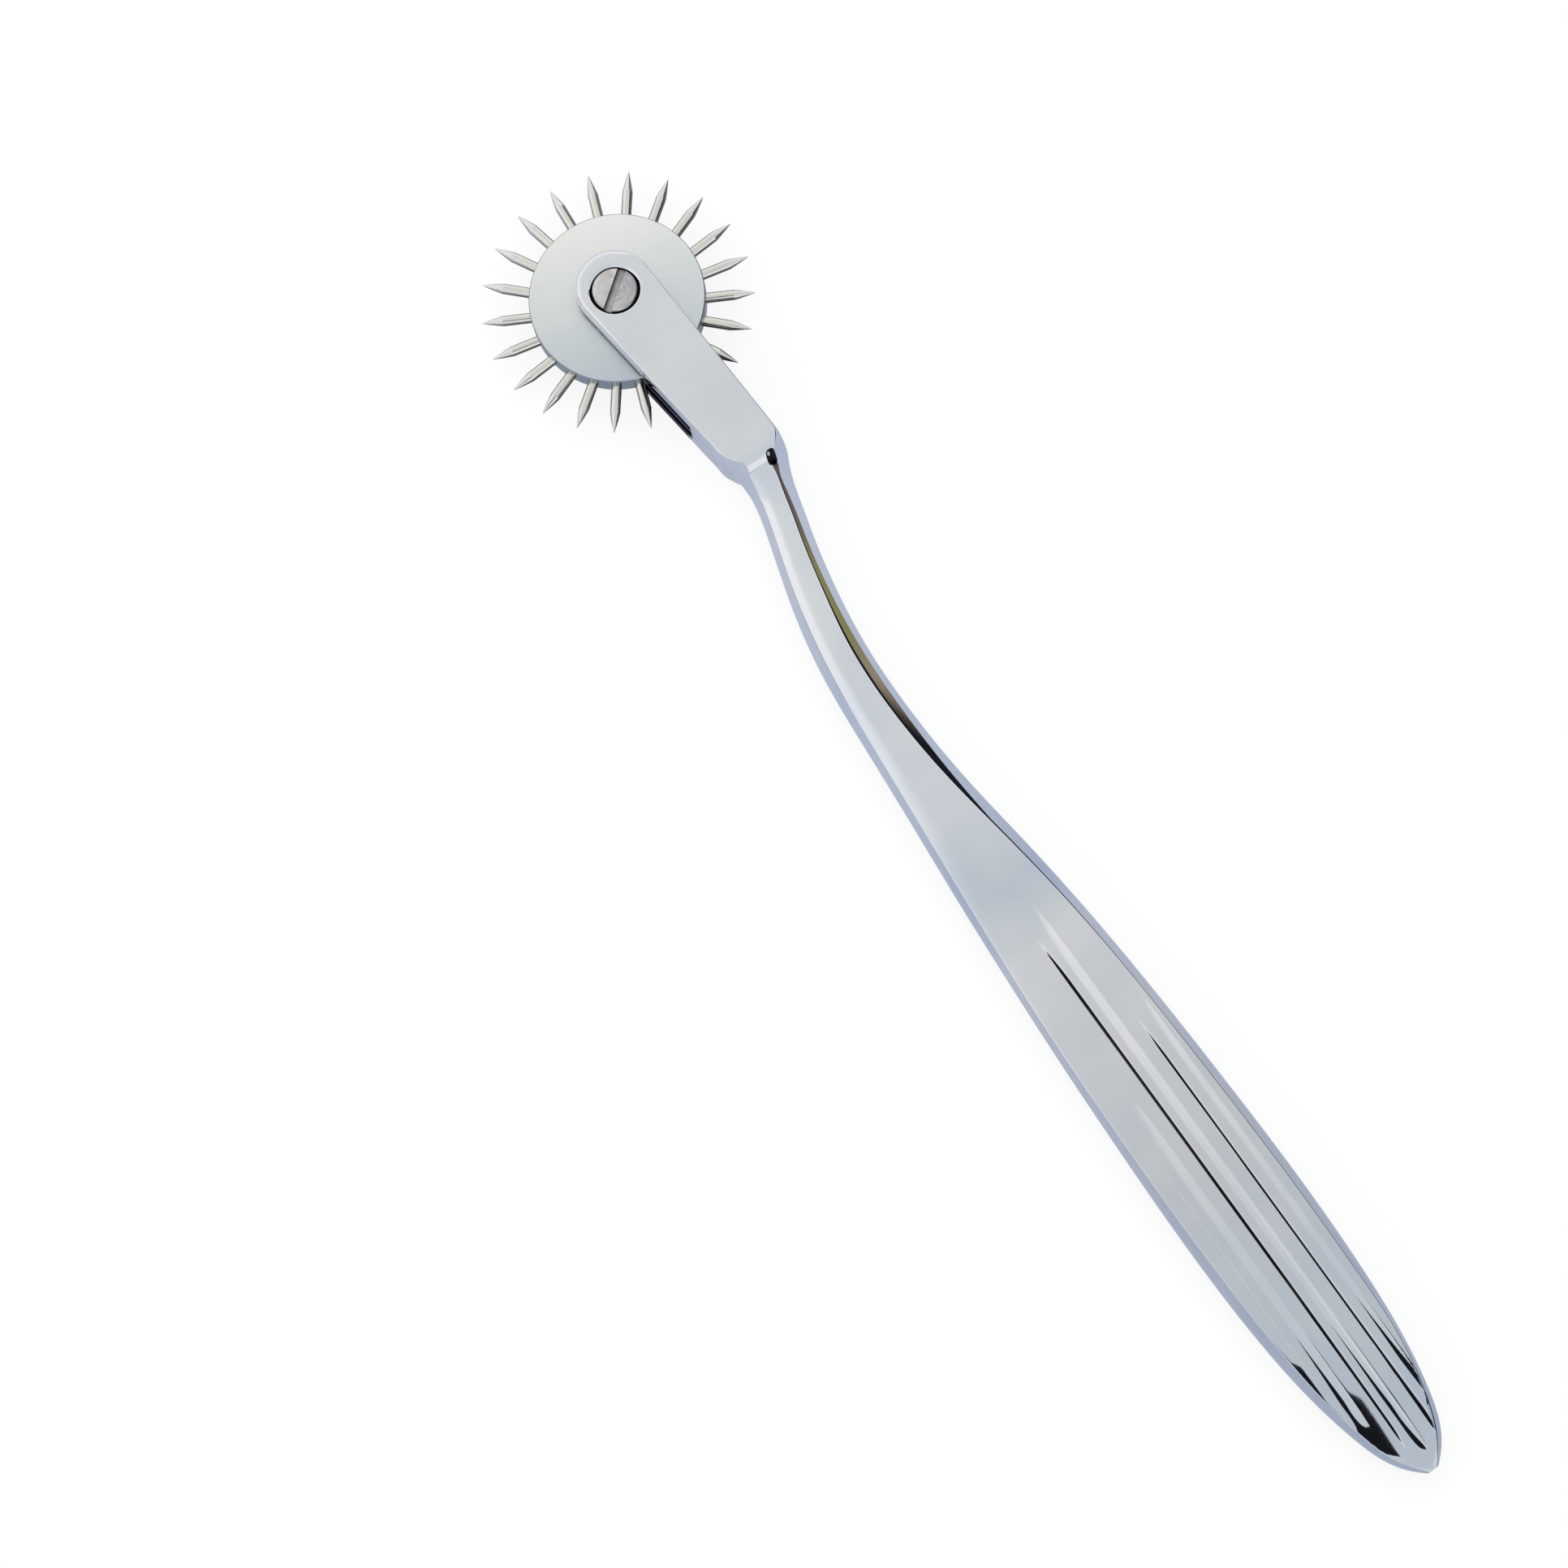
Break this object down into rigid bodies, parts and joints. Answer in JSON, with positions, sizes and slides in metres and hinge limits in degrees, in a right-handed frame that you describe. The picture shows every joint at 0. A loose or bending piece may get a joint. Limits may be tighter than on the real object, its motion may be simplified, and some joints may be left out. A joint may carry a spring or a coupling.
{
  "type": "neurological pinwheel",
  "caption": "Hand-held neurological pinwheel: a disc with sharp radial pins turns on a slotted screw in the fork of a swept, mirror-polished metal handle with a grooved grip.",
  "frame": {"origin": "on the wheel's axis, in the outer face of the rear ear, where the axle screw's end lies flush; that face is the one to lay the part on", "axes": "+X along the grip to its tip, +Z along the axle towards the face with the screw's head, +Y across the handle"},
  "size_m": [0.1793, 0.0319, 0.0086],
  "materials": {
    "polished_steel": "mirror-polished stainless steel",
    "satin_steel": "finely satin-ground stainless steel",
    "turned_steel": "turned steel, slightly dull, with concentric tool marks",
    "pin_steel": "bright ground steel"
  },
  "bodies": {
    "handle": {"handle": "polished_steel", "axle_screw": "turned_steel"},
    "wheel": {"wheel_disc": "satin_steel", "pin_01": "pin_steel", "pin_02": "pin_steel", "pin_03": "pin_steel", "pin_04": "pin_steel", "pin_05": "pin_steel", "pin_06": "pin_steel", "pin_07": "pin_steel", "pin_08": "pin_steel", "pin_09": "pin_steel", "pin_10": "pin_steel", "pin_11": "pin_steel", "pin_12": "pin_steel", "pin_13": "pin_steel", "pin_14": "pin_steel", "pin_15": "pin_steel", "pin_16": "pin_steel", "pin_17": "pin_steel", "pin_18": "pin_steel", "pin_19": "pin_steel", "pin_20": "pin_steel", "pin_21": "pin_steel", "pin_22": "pin_steel"}
  },
  "joints": [
    {"name": "wheel_spin", "type": "hinge", "parent": "handle", "child": "wheel", "pos_m": [0, 0, 0.0043], "axis": [0, 0, 1], "continuous": true}
  ]
}
